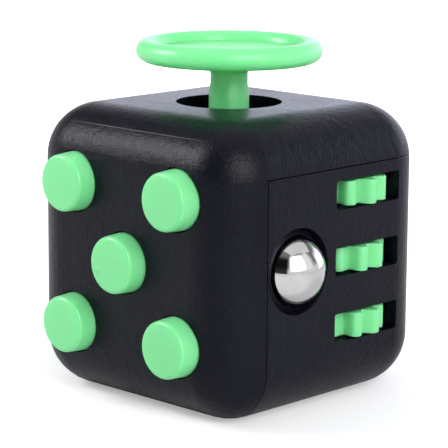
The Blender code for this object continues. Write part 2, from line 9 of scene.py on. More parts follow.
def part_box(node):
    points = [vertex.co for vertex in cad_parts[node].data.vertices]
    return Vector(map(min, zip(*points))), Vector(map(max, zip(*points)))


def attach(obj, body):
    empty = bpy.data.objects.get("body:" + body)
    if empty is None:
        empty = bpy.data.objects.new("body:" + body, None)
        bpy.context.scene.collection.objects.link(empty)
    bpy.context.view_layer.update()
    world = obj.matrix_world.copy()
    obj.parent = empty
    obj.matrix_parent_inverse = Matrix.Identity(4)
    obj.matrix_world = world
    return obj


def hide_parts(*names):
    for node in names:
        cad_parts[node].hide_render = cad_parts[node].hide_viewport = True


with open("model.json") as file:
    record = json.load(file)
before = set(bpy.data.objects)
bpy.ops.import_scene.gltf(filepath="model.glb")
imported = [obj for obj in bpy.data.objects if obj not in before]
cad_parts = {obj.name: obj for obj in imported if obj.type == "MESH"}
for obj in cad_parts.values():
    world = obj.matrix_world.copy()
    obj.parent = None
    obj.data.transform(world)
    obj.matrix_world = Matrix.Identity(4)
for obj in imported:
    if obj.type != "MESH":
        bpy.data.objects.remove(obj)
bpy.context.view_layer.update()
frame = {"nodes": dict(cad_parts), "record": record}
mm = 0.001  # pieces are shaped in millimetres and brought to metres when they are finished
oneWithin = {"made": 1e-4, "cut": 5e-4}  # closer points than this, in millimetres, are one
past = 2.0  # how far a cutter reaches past the surface that it opens
print("frame loaded:", len(frame["nodes"]), "nodes")


# places taken from the frame, in millimetres
def nodeBox(node):
    low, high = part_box(node)
    return low / mm, high / mm


def nodeCentre(node):
    low, high = nodeBox(node)
    return (low + high) / 2


# turns that bring a shape made round Z onto another axis
axisTurn = {
    "z": Matrix.Identity(4),
    "x": Matrix.Rotation(math.radians(90), 4, "Y"),
    "y": Matrix.Rotation(math.radians(-90), 4, "X"),
}


def objectFrom(bm, name):
    mesh = bpy.data.meshes.new(name)
    bm.to_mesh(mesh)
    bm.free()
    piece = bpy.data.objects.new(name, mesh)
    bpy.context.scene.collection.objects.link(piece)
    return piece


def pieceFrom(bm, name):
    bmesh.ops.remove_doubles(bm, verts=bm.verts[:], dist=oneWithin["made"])
    bmesh.ops.recalc_face_normals(bm, faces=bm.faces[:])
    return objectFrom(bm, name)


def runsAlong(edge, axis):
    # whether an edge has any length along an axis
    return abs((edge.verts[0].co - edge.verts[1].co)[axis]) > 1e-6


def bevelEdges(bm, edges, width, segments, clamp=False):
    bmesh.ops.bevel(
        bm, geom=edges, offset=width, segments=segments, profile=0.5, affect="EDGES", material=-1,
        clamp_overlap=clamp,
    )


def arcOf(radius, start, end, steps, centre=(0, 0)):
    # points on an arc in the turning plane, angles in degrees from the outward direction
    points = []
    for i in range(steps + 1):
        turn = math.radians(start + (end - start) * i / steps)
        points.append((centre[0] + radius * math.cos(turn), centre[1] + radius * math.sin(turn)))
    return points


def turned(name, outline, axis="z", centre=(0, 0, 0), steps=96):
    # spins an outline of (radius, height) points, and closes it where it keeps off the axis
    bm = bmesh.new()
    points = [bm.verts.new((max(radius, 0), 0, height)) for radius, height in outline]
    edges = [bm.edges.new(pair) for pair in zip(points, points[1:])]
    if outline[0][0] > 1e-5:
        edges.append(bm.edges.new((points[-1], points[0])))
    bmesh.ops.spin(
        bm, geom=points + edges, axis=(0, 0, 1), cent=(0, 0, 0), angle=2 * math.pi, steps=steps,
        use_merge=True,
    )
    place = Matrix.Translation(centre) @ axisTurn[axis]
    bmesh.ops.transform(bm, matrix=place, verts=bm.verts[:])
    return pieceFrom(bm, name)


def rod(radius, start, end, axis="z", centre=(0, 0), steps=64):
    # a cutter or a pin, with its middle given on the two other axes
    at = list(centre)
    at.insert("xyz".index(axis), 0)
    return turned("rod", [(0, start), (radius, start), (radius, end), (0, end)], axis, at, steps)


def block(name, low, high, roundBy=0.0, along="z", segments=6):
    bm = bmesh.new()
    low, high = Vector(low), Vector(high)
    place = Matrix.Translation((low + high) / 2) @ Matrix.Diagonal((*(high - low), 1))
    bmesh.ops.create_cube(bm, size=1, matrix=place)
    if roundBy:
        edges = [e for e in bm.edges if runsAlong(e, "xyz".index(along))]
        bevelEdges(bm, edges, roundBy, segments)
    return pieceFrom(bm, name)


def pushedOut(name, outline, axis, start, end, soften):
    # pushes a flat outline along an axis and softens the rims of its two ends
    bm = bmesh.new()
    where = "xyz".index(axis)
    corners = []
    for pair in outline:
        point = list(pair)
        point.insert(where, start)
        corners.append(bm.verts.new(point))
    face = bm.faces.new(corners)
    push = bmesh.ops.extrude_face_region(bm, geom=[face])
    step = [0, 0, 0]
    step[where] = end - start
    moved = [v for v in push["geom"] if isinstance(v, bmesh.types.BMVert)]
    bmesh.ops.translate(bm, vec=step, verts=moved)
    bmesh.ops.recalc_face_normals(bm, faces=bm.faces[:])
    bevelEdges(bm, [e for e in bm.edges if not runsAlong(e, where)], soften, 3)
    return pieceFrom(bm, name)


def settle(piece):
    # leaves a piece with the mesh that its modifiers make
    bpy.context.view_layer.update()
    graph = bpy.context.evaluated_depsgraph_get()
    shaped = bpy.data.meshes.new_from_object(piece.evaluated_get(graph))
    piece.modifiers.clear()
    piece.data = shaped
    return piece


def combine(target, tool, operation="DIFFERENCE"):
    modifier = target.modifiers.new(operation.lower(), "BOOLEAN")
    modifier.operation = operation
    modifier.solver = "EXACT"
    modifier.object = tool
    settle(target)
    bm = bmesh.new()
    bm.from_mesh(target.data)
    bmesh.ops.remove_doubles(bm, verts=bm.verts[:], dist=oneWithin["cut"])
    bmesh.ops.dissolve_degenerate(bm, edges=bm.edges[:], dist=oneWithin["cut"])
    bm.to_mesh(target.data)
    bm.free()
    bpy.data.objects.remove(tool, do_unlink=True)
    return target


def cut(target, *tools):
    for tool in tools:
        combine(target, tool)
    return target


def join(target, *tools):
    for tool in tools:
        combine(target, tool, "UNION")
    return target


def softenEdges(piece, width, chosen, segments=2):
    # rounds the edges sharper than 35 degrees that chosen(edge) picks
    bm = bmesh.new()
    bm.from_mesh(piece.data)
    sharp = math.radians(35)
    edges = [
        e for e in bm.edges
        if len(e.link_faces) == 2 and e.calc_face_angle(0) > sharp and chosen(e)
    ]
    bevelEdges(bm, edges, width, segments, clamp=True)
    bmesh.ops.remove_doubles(bm, verts=bm.verts[:], dist=oneWithin["cut"])
    bm.to_mesh(piece.data)
    bm.free()
    return piece


def finishPiece(piece, body, nodes, slot, material=None, sharp=40):
    # brings a piece to metres, evens its shading, gives it its finish, hides the CAD nodes it stands for
    # and hangs it on its body's empty
    piece.data.transform(Matrix.Scale(mm, 4))
    piece.data.shade_smooth()
    piece.data.set_sharp_from_angle(angle=math.radians(sharp))
    weighted = piece.modifiers.new("evenNormals", "WEIGHTED_NORMAL")
    weighted.keep_sharp = True
    settle(piece)
    piece.data.materials.clear()
    piece.data.materials.append(material or finishes[slot])
    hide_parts(*nodes)
    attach(piece, body)
    return piece


# surface effects that several materials share
def newGroup(name, inputs, outputs):
    group = bpy.data.node_groups.new(name, "ShaderNodeTree")
    for label, kind, value in inputs:
        socket = group.interface.new_socket(label, in_out="INPUT", socket_type=kind)
        if value is not None:
            socket.default_value = value
    for label, kind in outputs:
        group.interface.new_socket(label, in_out="OUTPUT", socket_type=kind)
    return group, group.nodes.new("NodeGroupInput"), group.nodes.new("NodeGroupOutput")


def addNode(tree, kind, links=None, **settings):
    # settings that name a property are set on the node, and links fill its inputs
    node = tree.nodes.new(kind)
    for key, value in settings.items():
        setattr(node, key, value)
    for key, value in (links or {}).items():
        socket = node.inputs[key]
        if isinstance(value, bpy.types.NodeSocket):
            tree.links.new(value, socket)
        else:
            socket.default_value = value
    return node


def mathNode(tree, operation, *values):
    return addNode(tree, "ShaderNodeMath", dict(enumerate(values)), operation=operation).outputs[0]


def makeMouldedGrain():
    # the faint texture that a mould leaves, and slow changes of tone
    coarser = {"scale": 0.22, "share": 0.8}  # a second, coarser noise under the fine one
    group, given, out = newGroup(
        "mouldedGrain",
        [("Vector", "NodeSocketVector", None), ("Grain Scale", "NodeSocketFloat", 7000.0),
         ("Tone Scale", "NodeSocketFloat", 120.0)],
        [("Height", "NodeSocketFloat"), ("Tone", "NodeSocketFloat")],
    )
    fine = addNode(group, "ShaderNodeTexNoise", {
        "Vector": given.outputs["Vector"], "Scale": given.outputs["Grain Scale"], "Detail": 2.0,
        "Roughness": 0.55})
    coarseScale = mathNode(group, "MULTIPLY", given.outputs["Grain Scale"], coarser["scale"])
    coarse = addNode(group, "ShaderNodeTexNoise", {
        "Vector": given.outputs["Vector"], "Scale": coarseScale, "Detail": 1.0, "Roughness": 0.5})
    tone = addNode(group, "ShaderNodeTexNoise", {
        "Vector": given.outputs["Vector"], "Scale": given.outputs["Tone Scale"], "Detail": 3.0,
        "Roughness": 0.6})
    slow = mathNode(group, "MULTIPLY", coarse.outputs["Fac"], coarser["share"])
    height = mathNode(group, "ADD", fine.outputs["Fac"], slow)
    group.links.new(height, out.inputs["Height"])
    group.links.new(tone.outputs["Fac"], out.inputs["Tone"])
    return group


def makeDustSpecks():
    # a few tiny specks: cells whose random value is high, and only near each cell's point
    group, given, out = newGroup(
        "dustSpecks",
        [("Vector", "NodeSocketVector", None), ("Spread", "NodeSocketFloat", 700.0),
         ("Share", "NodeSocketFloat", 0.05), ("Size", "NodeSocketFloat", 0.06)],
        [("Mask", "NodeSocketFloat")],
    )
    cells = addNode(group, "ShaderNodeTexVoronoi", {
        "Vector": given.outputs["Vector"], "Scale": given.outputs["Spread"], "Randomness": 1.0})
    parts = addNode(group, "ShaderNodeSeparateColor", {"Color": cells.outputs["Color"]})
    line = mathNode(group, "SUBTRACT", 1.0, given.outputs["Share"])
    chosen = mathNode(group, "GREATER_THAN", parts.outputs["Red"], line)
    size = mathNode(group, "MULTIPLY", given.outputs["Size"], parts.outputs["Green"])
    near = mathNode(group, "LESS_THAN", cells.outputs["Distance"], size)
    group.links.new(mathNode(group, "MULTIPLY", chosen, near), out.inputs["Mask"])
    return group


def makeHandlingMarks():
    # hair scratches in two directions, broken up by a slow noise
    group, given, out = newGroup(
        "handlingMarks",
        [("Vector", "NodeSocketVector", None), ("Amount", "NodeSocketFloat", 0.5)],
        [("Mask", "NodeSocketFloat")],
    )
    directions = [  # how each set of hairs is turned and stretched
        ((0.3, 0.5, 0.9), (90.0, 2600.0, 90.0)),
        ((0.9, -0.4, -0.5), (2300.0, 110.0, 110.0)),
    ]
    masks = []
    for turn, stretch in directions:
        lay = addNode(group, "ShaderNodeMapping", {
            "Vector": given.outputs["Vector"], "Rotation": turn, "Scale": stretch})
        hair = addNode(group, "ShaderNodeTexNoise", {
            "Vector": lay.outputs["Vector"], "Scale": 1.0, "Detail": 0.0})
        masks.append(addNode(group, "ShaderNodeMapRange", {
            "Value": hair.outputs["Fac"], "From Min": 0.70, "From Max": 0.76}).outputs["Result"])
    patches = addNode(group, "ShaderNodeTexNoise", {
        "Vector": given.outputs["Vector"], "Scale": 160.0, "Detail": 1.0})
    where = addNode(group, "ShaderNodeMapRange", {
        "Value": patches.outputs["Fac"], "From Min": 0.5, "From Max": 0.7}).outputs["Result"]
    both = mathNode(group, "MAXIMUM", *masks)
    shown = mathNode(group, "MULTIPLY", both, where)
    group.links.new(mathNode(group, "MULTIPLY", shown, given.outputs["Amount"]), out.inputs["Mask"])
    return group


effects = {
    "grain": makeMouldedGrain(),
    "dust": makeDustSpecks(),
    "marks": makeHandlingMarks(),
}


def useGroup(tree, effect, links):
    return addNode(tree, "ShaderNodeGroup", links, node_tree=effects[effect])


def newMaterial(name, fixed):
    # fixed values go straight on the shader's own sockets
    material = bpy.data.materials.new(name)
    material.use_nodes = True
    tree = material.node_tree
    shader = tree.nodes["Principled BSDF"]
    for key, value in fixed.items():
        shader.inputs[key].default_value = value
    place = addNode(tree, "ShaderNodeTexCoord").outputs["Object"]
    return material, tree, shader, place


def mixColour(tree, factor, first, second):
    return addNode(
        tree, "ShaderNodeMix", {0: factor, 6: first, 7: second}, data_type="RGBA").outputs[2]


def spread(tree, value, low, high, start=0.3, end=0.7):
    # noise mostly lies between 0.3 and 0.7, and this stretches it over low to high
    return addNode(tree, "ShaderNodeMapRange", {
        "Value": value, "From Min": start, "From Max": end, "To Min": low, "To Max": high,
    }).outputs["Result"]


def roughened(tree, rough, mask, amount, operation="ADD"):
    return mathNode(tree, operation, rough, mathNode(tree, "MULTIPLY", mask, amount))


def bumpFrom(tree, shader, height, strength, deep):
    bump = addNode(tree, "ShaderNodeBump", {
        "Height": height, "Strength": strength, "Distance": deep})
    tree.links.new(bump.outputs["Normal"], shader.inputs["Normal"])


def paintedHighlightLineMask(tree, place, line):
    # a painted highlight line at one height, on the front face only, that fades towards its ends
    parts = addNode(tree, "ShaderNodeSeparateXYZ", {0: place}).outputs
    off = mathNode(tree, "ABSOLUTE", mathNode(tree, "SUBTRACT", parts["Z"], line["height"]))
    across = spread(tree, off, 1.0, 0.0, 0.3 * line["half"], line["half"])
    out = mathNode(tree, "ABSOLUTE", parts["X"])
    along = spread(tree, out, 1.0, 0.0, 0.5 * line["ends"], line["ends"])
    front = mathNode(tree, "LESS_THAN", parts["Y"], line["front"])
    return mathNode(tree, "MULTIPLY", mathNode(tree, "MULTIPLY", across, along), front)


plasticWear = {"marked": 0.15, "dusty": 0.8}  # what marks add to the roughness, and dust's own


def mouldedPlastic(name, looks):
    material, tree, shader, place = newMaterial(name, looks["fixed"])
    grain = useGroup(tree, "grain", {
        "Vector": place, "Grain Scale": looks["grainScale"], "Tone Scale": looks["toneScale"]})
    dust = useGroup(tree, "dust", {
        "Vector": place, "Spread": looks["dustSpread"], "Share": looks["dustShare"],
        "Size": looks["dustSize"]})
    marks = useGroup(tree, "marks", {"Vector": place, "Amount": looks["marks"]})
    tone = spread(tree, grain.outputs["Tone"], 0.0, 1.0)
    colour = mixColour(tree, tone, (*looks["dark"], 1), (*looks["light"], 1))
    colour = mixColour(tree, marks.outputs["Mask"], colour, (*looks["marked"], 1))
    colour = mixColour(tree, dust.outputs["Mask"], colour, (*looks["dust"], 1))
    # a light line painted along the moulding line, standing in for a highlight
    if "line" in looks:
        line = paintedHighlightLineMask(tree, place, looks["line"])
        colour = mixColour(tree, line, colour, (*looks["line"]["colour"], 1))
    tree.links.new(colour, shader.inputs["Base Color"])
    rough = spread(tree, grain.outputs["Tone"], *looks["rough"])
    rough = roughened(tree, rough, marks.outputs["Mask"], plasticWear["marked"])
    rough = roughened(tree, rough, dust.outputs["Mask"], plasticWear["dusty"], "MAXIMUM")
    tree.links.new(rough, shader.inputs["Roughness"])
    bumpFrom(tree, shader, grain.outputs["Height"], looks["bump"], looks["deep"])
    return material


# colours are linear, scales are per metre and depths are in metres
blackLooks = {
    "fixed": {"IOR": 1.45, "Specular IOR Level": 0.155},
    "dark": (0.0040, 0.0042, 0.0088), "light": (0.0054, 0.0056, 0.0112),
    "marked": (0.02, 0.02, 0.028), "marks": 0.25,
    "rough": (0.24, 0.31), "grainScale": 4600.0, "toneScale": 110.0, "bump": 0.9, "deep": 0.000065,
    "dust": (0.14, 0.14, 0.15), "dustSpread": 700.0, "dustShare": 0.04, "dustSize": 0.055,
}
# the case has a light line painted along its front top fillet, at its moulding line; its brightness is a
# painted highlight
caseLooks = {
    **blackLooks,
    "line": {
        "height": 0.0312, "half": 0.00005, "ends": 0.0114, "front": -0.0138, "colour": (0.10, 0.10, 0.11),
    },
}
greenLooks = {
    "fixed": {"IOR": 1.5, "Specular IOR Level": 0.50, "Subsurface Weight": 0.45,
              "Subsurface Radius": (0.35, 1.0, 0.5), "Subsurface Scale": 0.0022},
    "dark": (0.182, 0.655, 0.272), "light": (0.196, 0.695, 0.290),
    "marked": (0.27, 0.71, 0.36), "marks": 0.25,
    "rough": (0.27, 0.33), "grainScale": 5200.0, "toneScale": 140.0, "bump": 0.22, "deep": 0.00002,
    "dust": (0.10, 0.16, 0.10), "dustSpread": 420.0, "dustShare": 0.02, "dustSize": 0.05,
}
# the stick is thin and lets more light through, from the dish down into the stem; its base colour is also
# painted lighter than the same green plastic elsewhere, to brighten the shaded stem and underside
stickLooksPaintedLighter = {
    **greenLooks,
    "fixed": {**greenLooks["fixed"], "Subsurface Weight": 0.9, "Subsurface Scale": 0.0045},
    "dark": (0.190, 0.730, 0.290), "light": (0.205, 0.770, 0.310),
}
siliconeLooks = {
    "fixed": {"IOR": 1.41, "Subsurface Weight": 0.3, "Subsurface Radius": (0.5, 1.0, 0.6),
              "Subsurface Scale": 0.001},
    "dark": (0.16, 0.62, 0.26), "light": (0.20, 0.68, 0.30),
    "marked": (0.3, 0.72, 0.4), "marks": 0.1,
    "rough": (0.55, 0.68), "grainScale": 3000.0, "toneScale": 200.0, "bump": 0.4, "deep": 0.00003,
    "dust": (0.5, 0.5, 0.48), "dustSpread": 900.0, "dustShare": 0.08, "dustSize": 0.08,
}
nylonLooks = {
    "fixed": {"IOR": 1.53, "Subsurface Weight": 0.2, "Subsurface Radius": (1.0, 0.9, 0.7),
              "Subsurface Scale": 0.001},
    "dark": (0.60, 0.58, 0.50), "light": (0.72, 0.70, 0.63),
    "marked": (0.5, 0.48, 0.42), "marks": 0.3,
    "rough": (0.42, 0.55), "grainScale": 4000.0, "toneScale": 180.0, "bump": 0.3, "deep": 0.00002,
    "dust": (0.25, 0.24, 0.2), "dustSpread": 800.0, "dustShare": 0.03, "dustSize": 0.06,
}


springLooks = {
    "dark": (0.36, 0.37, 0.39), "light": (0.60, 0.61, 0.63), "rough": (0.22, 0.42),
    "drawn": (300.0, 300.0, 9000.0), "marks": 0.5, "marked": 0.2, "bump": 0.2, "deep": 0.00001,
}


def springSteel():
    looks = springLooks
    material, tree, shader, place = newMaterial("brightSteel", {"Metallic": 1.0})
    lay = addNode(tree, "ShaderNodeMapping", {"Vector": place, "Scale": looks["drawn"]})
    drawn = addNode(tree, "ShaderNodeTexNoise", {
        "Vector": lay.outputs["Vector"], "Scale": 1.0, "Detail": 2.0}).outputs["Fac"]
    marks = useGroup(tree, "marks", {"Vector": place, "Amount": looks["marks"]})
    colour = mixColour(tree, drawn, (*looks["dark"], 1), (*looks["light"], 1))
    tree.links.new(colour, shader.inputs["Base Color"])
    rough = spread(tree, drawn, *looks["rough"])
    rough = roughened(tree, rough, marks.outputs["Mask"], looks["marked"])
    tree.links.new(rough, shader.inputs["Roughness"])
    bumpFrom(tree, shader, drawn, looks["bump"], looks["deep"])
    return material


ballLooks = {
    "clean": (0.74, 0.72, 0.72), "smudged": (0.66, 0.64, 0.64), "rough": (0.035, 0.09),
    "smudgeScale": 380.0, "speck": (0.10, 0.09, 0.08), "speckSpread": 1500.0, "speckShare": 0.035,
    "speckSize": 0.16, "specked": 0.4, "marks": 0.4, "marked": 0.1,
}


def polishedSteel():
    looks = ballLooks
    material, tree, shader, place = newMaterial("polishedSteel", {"Metallic": 1.0})
    smudge = addNode(tree, "ShaderNodeTexNoise", {
        "Vector": place, "Scale": looks["smudgeScale"], "Detail": 3.0})
    specks = useGroup(tree, "dust", {
        "Vector": place, "Spread": looks["speckSpread"], "Share": looks["speckShare"],
        "Size": looks["speckSize"]})
    marks = useGroup(tree, "marks", {"Vector": place, "Amount": looks["marks"]})
    film = spread(tree, smudge.outputs["Fac"], 0.0, 1.0, 0.4, 0.75)
    colour = mixColour(tree, film, (*looks["clean"], 1), (*looks["smudged"], 1))
    colour = mixColour(tree, specks.outputs["Mask"], colour, (*looks["speck"], 1))
    tree.links.new(colour, shader.inputs["Base Color"])
    rough = spread(tree, film, *looks["rough"], 0.0, 1.0)
    rough = roughened(tree, rough, marks.outputs["Mask"], looks["marked"])
    rough = roughened(tree, rough, specks.outputs["Mask"], looks["specked"])
    tree.links.new(rough, shader.inputs["Roughness"])
    return material


boardLooks = {
    "fixed": {"Coat Weight": 0.3, "Coat Roughness": 0.2},
    "weave": ((0.010, 0.115, 0.045), (0.014, 0.140, 0.055)), "weaveScale": 1600.0,
    "track": (0.03, 0.24, 0.09), "trackScale": 260.0, "trackWide": 0.035,
    "rough": (0.3, 0.45), "bump": 0.4, "deep": 0.00003,
}


def circuitBoard():
    looks = boardLooks
    first, second = looks["weave"]
    black, white = (0, 0, 0, 1), (1, 1, 1, 1)
    material, tree, shader, place = newMaterial("solderMask", looks["fixed"])
    weave = addNode(tree, "ShaderNodeTexChecker", {
        "Vector": place, "Scale": looks["weaveScale"],
        "Color1": (*first, 1), "Color2": (*second, 1)})
    tracks = addNode(tree, "ShaderNodeTexBrick", {
        "Vector": place, "Scale": looks["trackScale"], "Color1": black, "Color2": black,
        "Mortar": white, "Mortar Size": looks["trackWide"]}).outputs["Fac"]
    grain = useGroup(tree, "grain", {"Vector": place, "Grain Scale": 3000.0, "Tone Scale": 150.0})
    colour = mixColour(tree, tracks, weave.outputs["Color"], (*looks["track"], 1))
    tree.links.new(colour, shader.inputs["Base Color"])
    tree.links.new(spread(tree, grain.outputs["Tone"], *looks["rough"]), shader.inputs["Roughness"])
    bumpFrom(tree, shader, tracks, looks["bump"], looks["deep"])
    return material


finishes = {
    "black_plastic": mouldedPlastic("satinBlackPlastic", blackLooks),
    "green_plastic": mouldedPlastic("mintGreenPlastic", greenLooks),
    "green_silicone": mouldedPlastic("greenSilicone", siliconeLooks),
    "natural_nylon": mouldedPlastic("naturalNylon", nylonLooks),
    "circuit_board": circuitBoard(),
    "spring_steel": springSteel(),
    "polished_steel": polishedSteel(),
}
casePlastic = mouldedPlastic("caseBlackPlastic", caseLooks)
# the stick's green is painted lighter to brighten its shaded stem
stickPlasticPaintedLighter = mouldedPlastic("stickGreenPlasticPaintedLighter", stickLooksPaintedLighter)
print("finishes made:", len(finishes))


# both case halves keep the CAD's inside and get a finely rounded outside
case = {
    "side": 33.0, "corner": 6.3, "segments": 12, "skin": 0.7, "trim": 0.35,
    "seamFront": 5.6, "seamTop": 5.8, "seamGap": 0.12, "rim": 0.10,
}
caseHalf = case["side"] / 2
controlZ = nodeCentre("button_centre").z  # the height that the controls are centred on


def roundedCase(inset):
    bm = bmesh.new()
    place = Matrix.Translation((0, 0, caseHalf))
    bmesh.ops.create_cube(bm, size=case["side"] - 2 * inset, matrix=place)
    bevelEdges(bm, bm.edges[:], case["corner"] - inset, case["segments"])
    return pieceFrom(bm, "roundedCase")


def seamBlock(grow):
    # the corner of space that the rear half fills, reaching well past the case
    low = -caseHalf + case["seamFront"] - grow
    return block("seamBlock", (low, low, -10), (30, 30, case["side"] - case["seamTop"] + grow))


def copyOfNode(node, name):
    bm = bmesh.new()
    bm.from_mesh(frame["nodes"][node].data)
    bmesh.ops.scale(bm, vec=(1 / mm,) * 3, verts=bm.verts[:])
    bmesh.ops.remove_doubles(bm, verts=bm.verts[:], dist=oneWithin["cut"])
    return objectFrom(bm, name)


def onCaseSurface(point):
    # whether a point lies on the case's rounded outside, within 0.02 mm
    flat = caseHalf - case["corner"]
    reach = [max(abs(p) - flat, 0) for p in (point.x, point.y, point.z - caseHalf)]
    return abs(Vector(reach).length - case["corner"]) < 0.02


def outerRim(edge):
    return all(onCaseSurface(v.co) for v in edge.verts)


def caseSkin(front):
    skin = cut(roundedCase(0), roundedCase(case["skin"]))
    if front:
        return cut(skin, seamBlock(case["seamGap"]))
    return combine(skin, seamBlock(0), "INTERSECT")


openings = {
    "buttonR": 3.52, "buttonDeep": 5.0, "stickR": 6.05, "stickDeep": 4.0,
    "pocketR": 8.93, "pocketDeep": 0.93, "ballEdgeR": 4.9, "ballEdgeFrom": 14.0,
    "ballR": 4.80, "boreR": 4.66, "boreFrom": 6.5, "boreStep": 0.25,
    "lip": (
        (5.0, -0.3), (5.0, 0.2), (4.79, 0.2), (3.96, 0.93), (3.96, 0.8), (4.66, -0.12), (4.66, -0.3),
    ),
    "slot": (10.65, 3.3), "slotRound": 0.25, "slotDeep": 5.0,
    "rocker": (5.2, 8.3), "rockerRound": 1.2, "rockerDeep": 5.0, "dishR": 9.0, "dishDeep": 1.62,
}
buttonNames = ("centre", "top_left", "top_right", "bottom_left", "bottom_right")
wheelNames = ("top", "middle", "bottom")
ballCentre = nodeCentre("roller_ball")


def makeFrontHalf():
    shell = copyOfNode("front_shell", "frontCaseHalf")
    combine(shell, roundedCase(case["trim"]), "INTERSECT")
    join(shell, caseSkin(True))
    top, near = case["side"], -caseHalf  # near is the front face and the left face
    for name in buttonNames:
        at = nodeCentre("button_" + name)
        holeEnd = near + openings["buttonDeep"]
        cut(shell, rod(openings["buttonR"], near - past, holeEnd, "y", (at.x, at.z)))
    cut(shell, rod(openings["stickR"], top - openings["stickDeep"], top + past, steps=96))
    pocketEnd = near + openings["pocketDeep"]
    cut(shell, rod(openings["pocketR"], near - past, pocketEnd, "x", (0, controlZ), 96))
    ballAt, edgeFrom = (ballCentre.y, ballCentre.z), openings["ballEdgeFrom"]
    cut(shell, rod(openings["ballEdgeR"], edgeFrom, caseHalf + past, "x", ballAt, 80))
    softenEdges(shell, case["rim"], outerRim)
    return finishPiece(shell, "case", ["front_shell"], "black_plastic", casePlastic)


def dishCutter():
    # part of a big ball, for the plain dish underneath
    deep, radius = openings["dishDeep"], openings["dishR"]
    ball = (radius**2 + deep**2) / (2 * deep)
    rim = math.degrees(math.asin(radius / ball))
    arc = arcOf(ball, 90, 90 - rim, 16, (0, deep - ball))
    return turned("dish", [*arc, (radius, -past), (0, -past)])


def makeRearHalf():
    shell = copyOfNode("rear_shell", "rearCaseHalf")
    combine(shell, roundedCase(case["trim"]), "INTERSECT")
    join(shell, caseSkin(False))
    cut(shell, dishCutter())
    slotLong, slotHigh = openings["slot"]
    for name in wheelNames:
        at = nodeCentre("thumb_wheel_" + name)
        low = (caseHalf - openings["slotDeep"], at.y - slotLong / 2, at.z - slotHigh / 2)
        high = (caseHalf + past, at.y + slotLong / 2, at.z + slotHigh / 2)
        cut(shell, block("slot", low, high, openings["slotRound"], "x", 3))
    start, boreR, ballR = openings["boreFrom"], openings["boreR"], openings["ballR"]
    step, end = ballCentre.x - openings["boreStep"], caseHalf + past
    bore = [(0, start), (boreR, start), (boreR, step), (ballR, step), (ballR, end), (0, end)]
    cut(shell, turned("bore", bore, "x", (0, ballCentre.y, ballCentre.z)))
    # a thin lip leans out and holds the ball
    join(shell, turned("lip", openings["lip"], "x", ballCentre))
    wide, tall = openings["rocker"]
    low = (-wide, caseHalf - openings["rockerDeep"], controlZ - tall)
    high = (wide, caseHalf + past, controlZ + tall)
    cut(shell, block("opening", low, high, openings["rockerRound"], "y"))
    softenEdges(shell, case["rim"], outerRim)
    return finishPiece(shell, "case", ["rear_shell"], "black_plastic")


makeFrontHalf()
print("front half made")
makeRearHalf()
print("rear half made")


button = {
    "frontR": 3.22, "baseR": 3.36, "crown": 0.05, "edge": 0.5, "flangeR": 3.9, "flange": (1.4, 0.6),
    "tailR": 1.5, "steps": 80,
}


def makeButton(name):
    node = "button_" + name
    low, high = nodeBox(node)
    at = nodeCentre(node)
    front, back, edge = low.y, high.y, button["edge"]
    radius, baseR, flangeR, tailR = (button[key] for key in ("frontR", "baseR", "flangeR", "tailR"))
    flangeStart, flangeEnd = (back - reach for reach in button["flange"])
    crown = [(0, front), (radius * 0.3, front + 0.01), (radius * 0.6, front + 0.03)]
    corner = arcOf(edge, -95, -8, 8, (radius - edge, front + edge + button["crown"]))
    outline = [
        *crown, *corner, (baseR - 0.03, -caseHalf - 0.1), (baseR, -caseHalf + 0.3),
        (baseR, flangeStart), (flangeR, flangeStart), (flangeR, flangeEnd), (tailR, flangeEnd),
        (tailR, back), (0, back),
    ]
    piece = turned("pushButton_" + name, outline, "y", (at.x, 0, at.z), button["steps"])
    return finishPiece(piece, node, [node], "green_plastic")


for buttonName in buttonNames:
    makeButton(buttonName)
print("buttons made")


# heights in dish, under and neckTop are from the middle of the rim, and the others from the floor
stick = {
    "rimR": 9.33, "rimTube": 1.25, "rimUp": 5.87,
    "dish": ((0, -0.05), (3.0, -0.02), (5.5, 0.06), (7.3, 0.16)),
    "under": ((7.0, -1.2), (5.5, -1.45), (4.2, -1.7), (3.3, -1.88)),
    "neckTop": -1.98, "fillet": 0.7, "stemR": 2.13, "collarR": 2.30, "collarTop": 34.6,
    "tailR": 1.4, "tail": (24.6, 31.0), "screwR": 0.85, "screw": (23, 28.5),
}


def makeStick():
    rimZ, collar = case["side"] + stick["rimUp"], stick["collarTop"]
    stemR, collarR, tailR, fillet = (stick[key] for key in ("stemR", "collarR", "tailR", "fillet"))
    tailEnd, tailTop = stick["tail"]
    rim = arcOf(stick["rimTube"], 168, -138, 28, (stick["rimR"], rimZ))
    dish, under = ([(out, rimZ + up) for out, up in stick[part]] for part in ("dish", "under"))
    neck = arcOf(fillet, 100, 180, 7, (stemR + fillet, rimZ + stick["neckTop"] - fillet))
    stem = [
        (stemR, collar + 0.5), (stemR + 0.06, collar + 0.15), (collarR, collar - 0.25),
        (collarR, tailTop), (tailR, tailTop), (tailR, tailEnd), (0, tailEnd),
    ]
    piece = turned("thumbStick", [*dish, *rim, *under, *neck, *stem], steps=128)
    cut(piece, rod(stick["screwR"], *stick["screw"], steps=32))
    return finishPiece(piece, "stick", ["joystick_cap"], "green_plastic", stickPlasticPaintedLighter)


# the dome hides the hole from inside and rocks on two pins
dome = {
    "outR": 7.2, "thick": 0.7, "pivotZ": 23.5, "low": 28,
    "postR": 2.35, "boreR": 1.5, "postEnd": 22.3, "pinR": 0.6, "pin": (1.9, 3.9),
}


